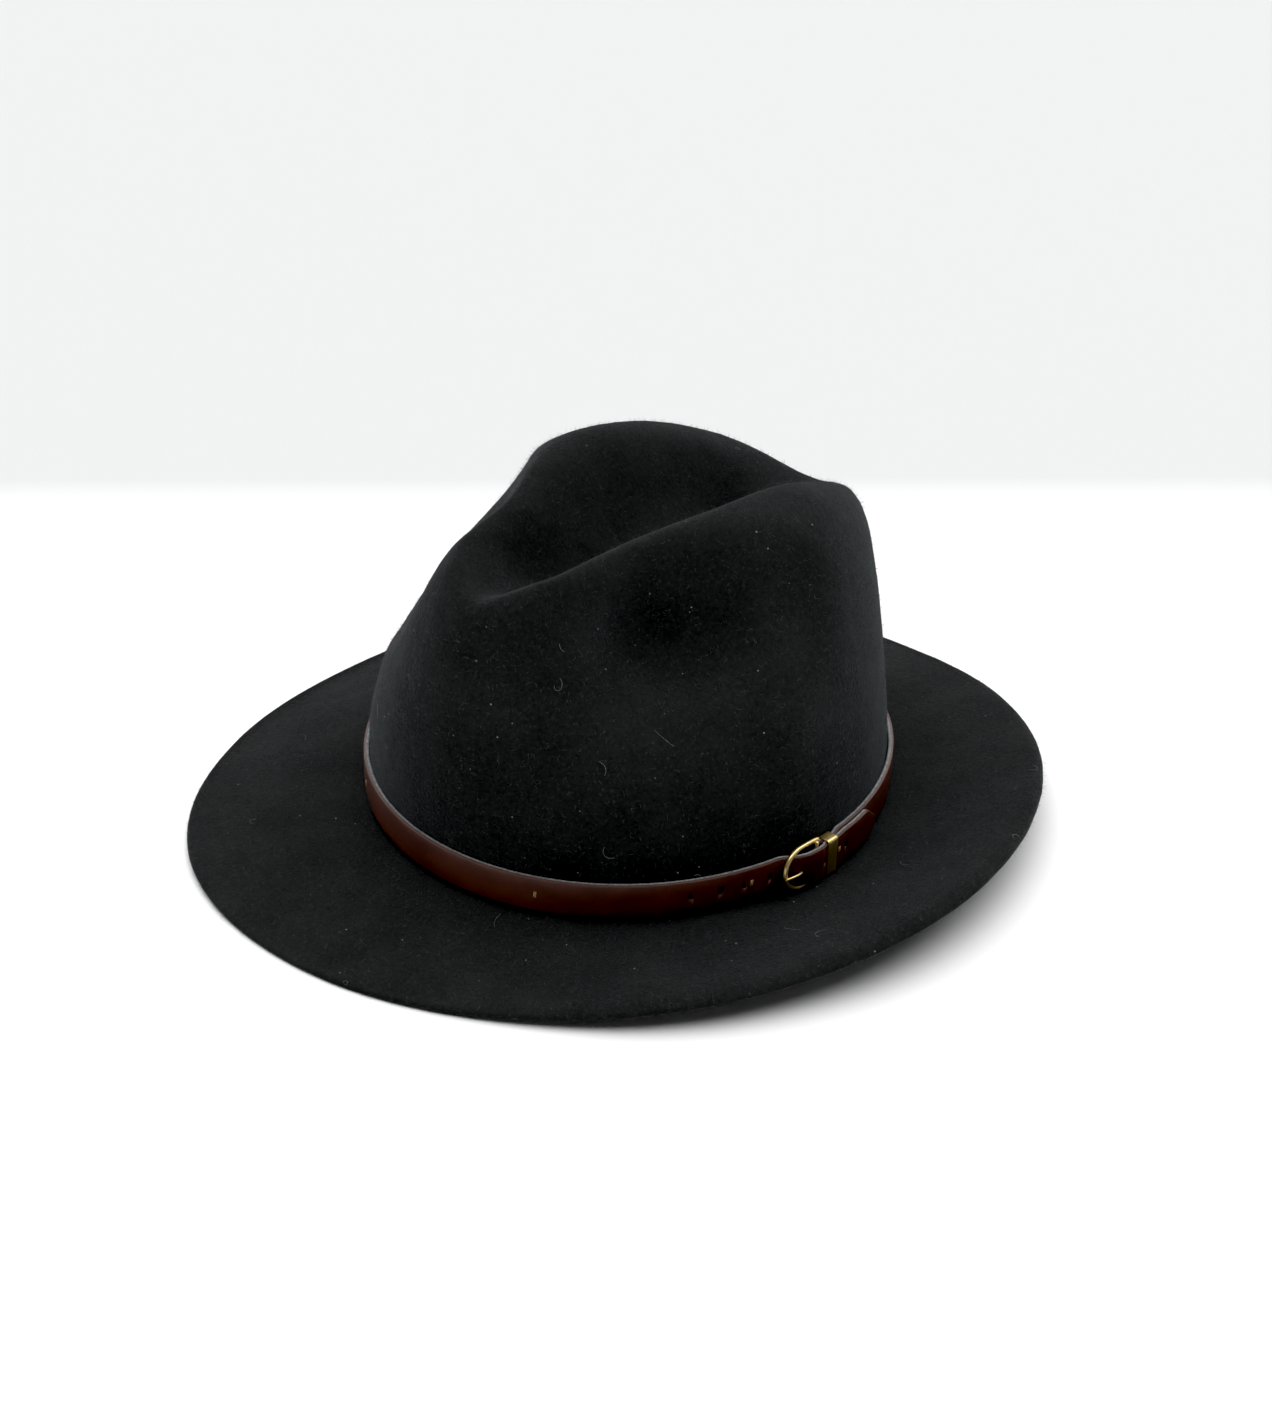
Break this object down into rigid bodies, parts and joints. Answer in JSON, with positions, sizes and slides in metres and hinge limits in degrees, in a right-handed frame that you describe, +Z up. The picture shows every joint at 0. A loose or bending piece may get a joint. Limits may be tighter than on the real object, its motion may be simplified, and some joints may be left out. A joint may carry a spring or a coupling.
{
  "type": "fedora hat",
  "caption": "Black felt fedora with a teardrop dent and side pinches in its crown, a wide brim and a narrow buckled leather band, standing on its brim.",
  "frame": {"origin": "on the surface that the brim rests on, under the middle of the hat's outline", "axes": "+Z up; the front of the hat faces -Y and its left side, with the buckle, faces +X"},
  "size_m": [0.2956, 0.3164, 0.1293],
  "materials": {
    "felt": "matt black wool felt with short fuzz",
    "band_leather": "smooth dark red-brown leather with pale raw edges",
    "buckle_brass": "aged satin brass"
  },
  "bodies": {
    "root": {"hat_body": "felt", "band_strap": "band_leather", "buckle_frame": "buckle_brass", "buckle_prong": "buckle_brass", "buckle_keeper": "buckle_brass"}
  },
  "joints": []
}
